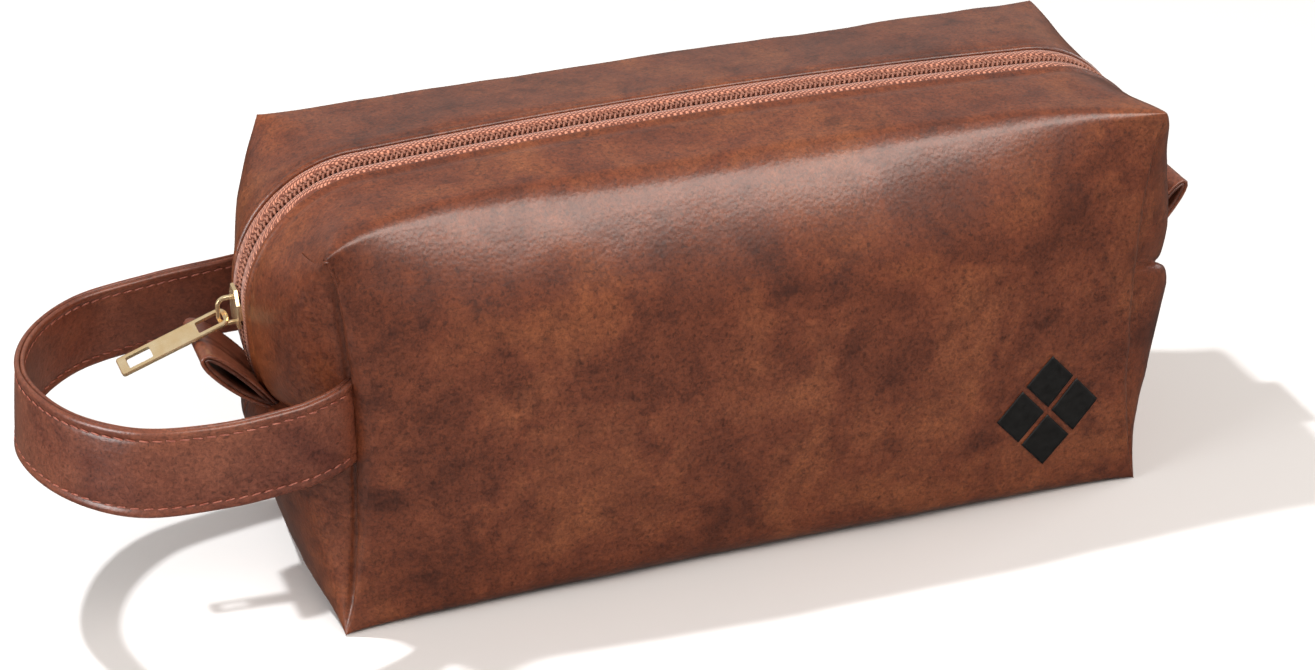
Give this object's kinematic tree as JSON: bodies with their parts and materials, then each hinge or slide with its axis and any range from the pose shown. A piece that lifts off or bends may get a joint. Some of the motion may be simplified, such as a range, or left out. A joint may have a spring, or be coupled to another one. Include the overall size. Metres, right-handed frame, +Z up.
{
  "type": "travel wash bag",
  "caption": "Boxy zipped leather wash bag with a lengthwise zip over the top and down both ends, a wrist strap on one end, a folded tab at each end and a metal pull.",
  "frame": {"origin": "on the base, in the middle of the bag's length and depth", "axes": "+X along the bag from the strap's end to the other, +Y to the back, +Z up"},
  "size_m": [0.378, 0.1102, 0.1336],
  "materials": {
    "shell_leather": "mottled reddish-brown coated leather, satin",
    "strap_leather": "dark red-brown coated leather with lighter turned edges, satin",
    "lining_cloth": "plain dark woven lining",
    "binding_tape": "dark woven binding tape",
    "zip_tape": "copper-brown woven zip tape",
    "zip_coil": "moulded brown nylon coil",
    "print_black": "matt black transfer film",
    "gold_metal": "polished pale gold plate",
    "thread": "twisted reddish thread"
  },
  "bodies": {
    "root": {"front_shell": "shell_leather", "back_shell": "shell_leather", "front_lining": "lining_cloth", "back_lining": "lining_cloth", "left_seam_binding": "binding_tape", "right_seam_binding": "binding_tape", "corner_seam_bindings": "binding_tape", "bottom_seam_binding": "binding_tape", "zip_tape_front": "zip_tape", "zip_tape_back": "zip_tape", "zip_coil_front": "zip_coil", "zip_coil_back": "zip_coil", "emblem": "print_black"},
    "slider": {"slider_body": "gold_metal", "slider_crown": "gold_metal"},
    "pull": {"pull_tab": "gold_metal"},
    "handle": {"handle_outer_layer": "strap_leather", "handle_inner_layer": "strap_leather", "handle_stitching": "thread"},
    "left_tab": {"left_tab_outer_layer": "strap_leather", "left_tab_inner_layer": "strap_leather"},
    "right_tab": {"right_tab_outer_layer": "strap_leather", "right_tab_inner_layer": "strap_leather"}
  },
  "joints": [
    {"name": "slider_travel", "type": "hinge", "parent": "root", "child": "slider", "pos_m": [-0.106, 0, 0.0906], "axis": [0, 1, 0], "range_deg": [0, 84]},
    {"name": "pull_swing", "type": "hinge", "parent": "slider", "child": "pull", "pos_m": [-0.1501, 0, 0.0876], "axis": [0, 1, 0], "range_deg": [0, 108]},
    {"name": "handle_swing", "type": "hinge", "parent": "root", "child": "handle", "pos_m": [-0.135, 0, 0.07], "axis": [0, 1, 0], "range_deg": [-30, 65], "stiffness_Nm_per_rad": 0.2},
    {"name": "left_tab_flex", "type": "hinge", "parent": "root", "child": "left_tab", "pos_m": [-0.1487, 0, 0.062], "axis": [0, -1, 0], "range_deg": [0, 80], "stiffness_Nm_per_rad": 0.03},
    {"name": "right_tab_flex", "type": "hinge", "parent": "root", "child": "right_tab", "pos_m": [0.1487, 0, 0.062], "axis": [0, 1, 0], "range_deg": [-20, 80], "stiffness_Nm_per_rad": 0.03}
  ]
}
